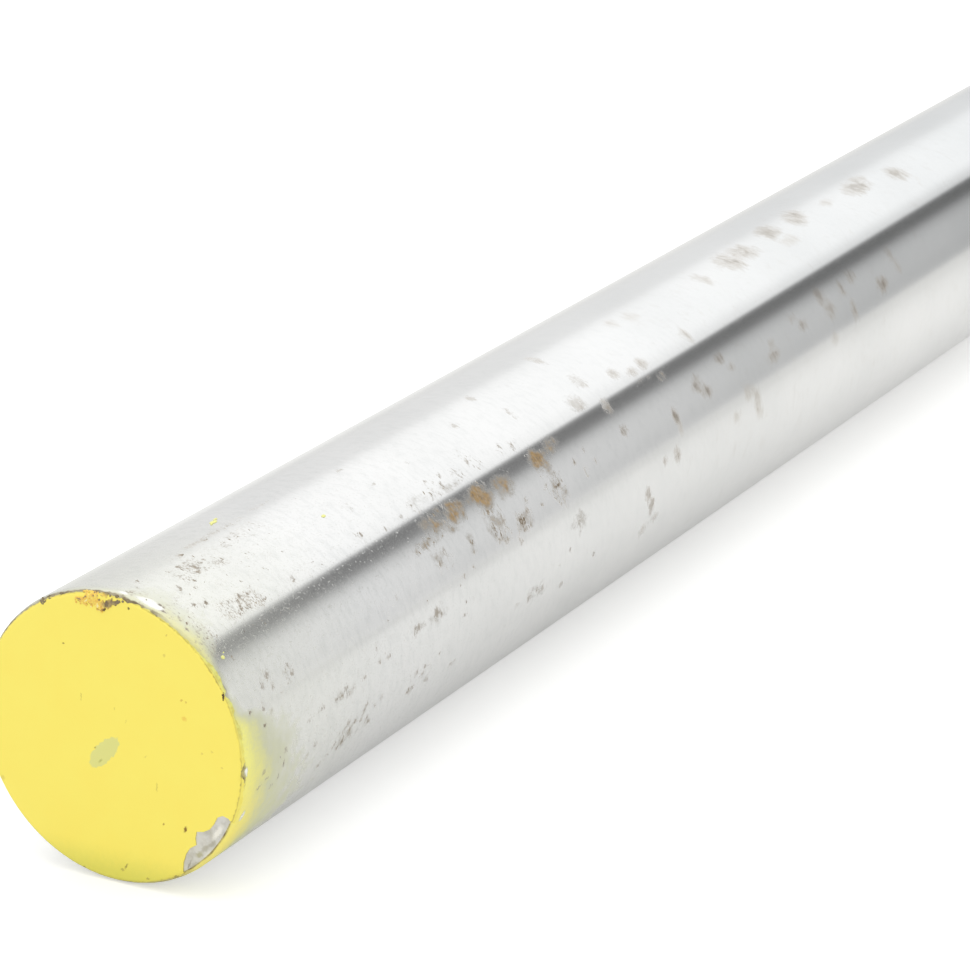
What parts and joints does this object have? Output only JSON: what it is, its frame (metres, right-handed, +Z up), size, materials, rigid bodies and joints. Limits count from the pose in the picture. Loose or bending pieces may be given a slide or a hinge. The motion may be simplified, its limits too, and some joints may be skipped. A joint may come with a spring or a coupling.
{
  "type": "tool steel drill rod",
  "caption": "Straight round bar of ground tool steel, one end face painted yellow to mark its grade, sold by the length for making punches, pins and shafts.",
  "frame": {"origin": "on the rod's lowest line, at mid length", "axes": "+X along the rod, from the painted end to the plain end; +Z up"},
  "size_m": [0.9144, 0.038, 0.0381],
  "materials": {
    "ground_steel": "centreless ground, bright, with light rust flecks",
    "end_paint": "semi-gloss yellow marking paint"
  },
  "bodies": {
    "root": {"drill_rod": "ground_steel"}
  },
  "joints": []
}
